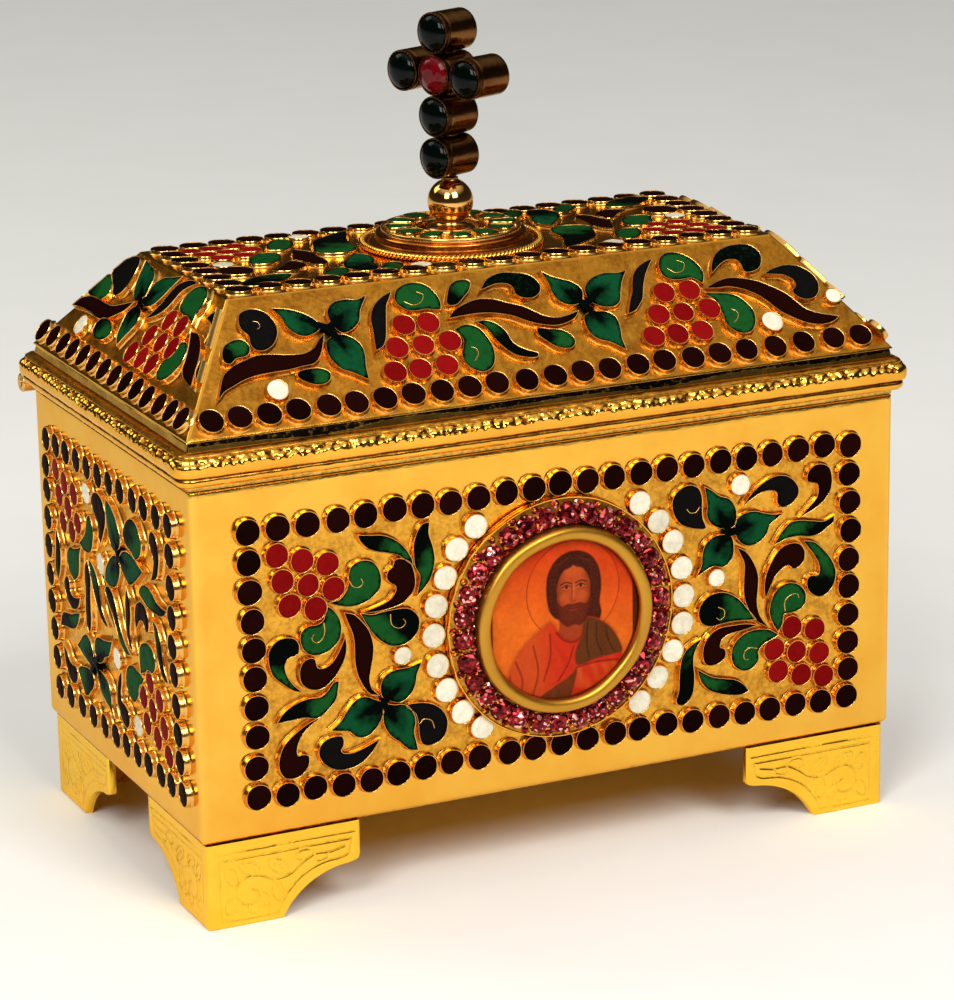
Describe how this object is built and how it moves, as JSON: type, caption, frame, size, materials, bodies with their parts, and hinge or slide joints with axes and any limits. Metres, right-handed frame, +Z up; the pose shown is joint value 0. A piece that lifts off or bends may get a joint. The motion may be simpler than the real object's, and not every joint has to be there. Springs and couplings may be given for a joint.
{
  "type": "altar tabernacle",
  "caption": "Gilt casket on bracket feet with a hinged hipped lid, raised enamel vine cell work on every side, a stone-ringed medallion and a cross finial of set stones.",
  "frame": {"origin": "on the table under the middle of the casket, at the height of the feet's undersides", "axes": "+X to the casket's right seen from the front, -Y out of the front with the medallion, +Z up; the hinge runs along X at the rear"},
  "size_m": [0.13, 0.0807, 0.1366],
  "materials": {
    "gilt_body": "polished gold plate over brass sheet, softly brushed",
    "gilt_feet": "gold plate with engraved scrolls",
    "gilt_lid": "gold plate, toned darker between the cells",
    "gilt_trim": "polished gold plate, dark in the hollows",
    "fittings": "plain turned brass",
    "enamel_cells": "opaque glossy enamel in raised gilt cells: maroon black, red, greens and white",
    "rose_stones": "small faceted rose stones in gilt settings",
    "green_stones": "near-black green cabochons, high gloss",
    "red_stone": "red faceted cabochon, high gloss",
    "icon_paint": "satin painted icon on an orange ground"
  },
  "bodies": {
    "casket": {"wall_front": "gilt_body", "wall_rear": "gilt_body", "wall_left": "gilt_body", "wall_right": "gilt_body", "floor_plate": "gilt_body", "foot_front_left": "gilt_feet", "foot_front_right": "gilt_feet", "foot_rear_left": "gilt_feet", "foot_rear_right": "gilt_feet", "cell_panel_front": "enamel_cells", "cell_panel_rear": "enamel_cells", "cell_panel_left": "enamel_cells", "cell_panel_right": "enamel_cells", "medallion_collar": "gilt_body", "medallion_stones": "rose_stones", "medallion_bezel": "gilt_body", "icon_plate": "icon_paint", "hinge_leaf_casket": "gilt_trim", "hinge_pin": "fittings"},
    "lid": {"hinge_leaf_lid": "gilt_trim", "lid_band_front": "gilt_lid", "lid_band_rear": "gilt_lid", "lid_band_left": "gilt_lid", "lid_band_right": "gilt_lid", "rim_moulding_front": "gilt_trim", "rim_moulding_rear": "gilt_trim", "rim_moulding_left": "gilt_trim", "rim_moulding_right": "gilt_trim", "lid_slope_front": "gilt_lid", "lid_slope_rear": "gilt_lid", "lid_slope_left": "gilt_lid", "lid_slope_right": "gilt_lid", "lid_top_plate": "gilt_lid", "cell_slope_front": "enamel_cells", "cell_slope_rear": "enamel_cells", "cell_slope_left": "enamel_cells", "cell_slope_right": "enamel_cells", "cell_top": "enamel_cells", "finial_base": "gilt_trim", "finial_rope_ring": "gilt_trim", "finial_cell_ring": "enamel_cells", "finial_knob": "gilt_trim", "finial_stud": "fittings", "finial_washer": "fittings", "finial_nut": "fittings", "cross_collet_centre": "gilt_trim", "cross_collet_top": "gilt_trim", "cross_collet_left_arm": "gilt_trim", "cross_collet_right_arm": "gilt_trim", "cross_collet_upper_stem": "gilt_trim", "cross_collet_lower_stem": "gilt_trim", "cross_stone_centre": "red_stone", "cross_stone_top": "green_stones", "cross_stone_left_arm": "green_stones", "cross_stone_right_arm": "green_stones", "cross_stone_upper_stem": "green_stones", "cross_stone_lower_stem": "green_stones"}
  },
  "joints": [
    {"name": "lid_hinge", "type": "hinge", "parent": "casket", "child": "lid", "pos_m": [0, 0.0389, 0.073], "axis": [-1, 0, 0], "range_deg": [0, 105]}
  ]
}
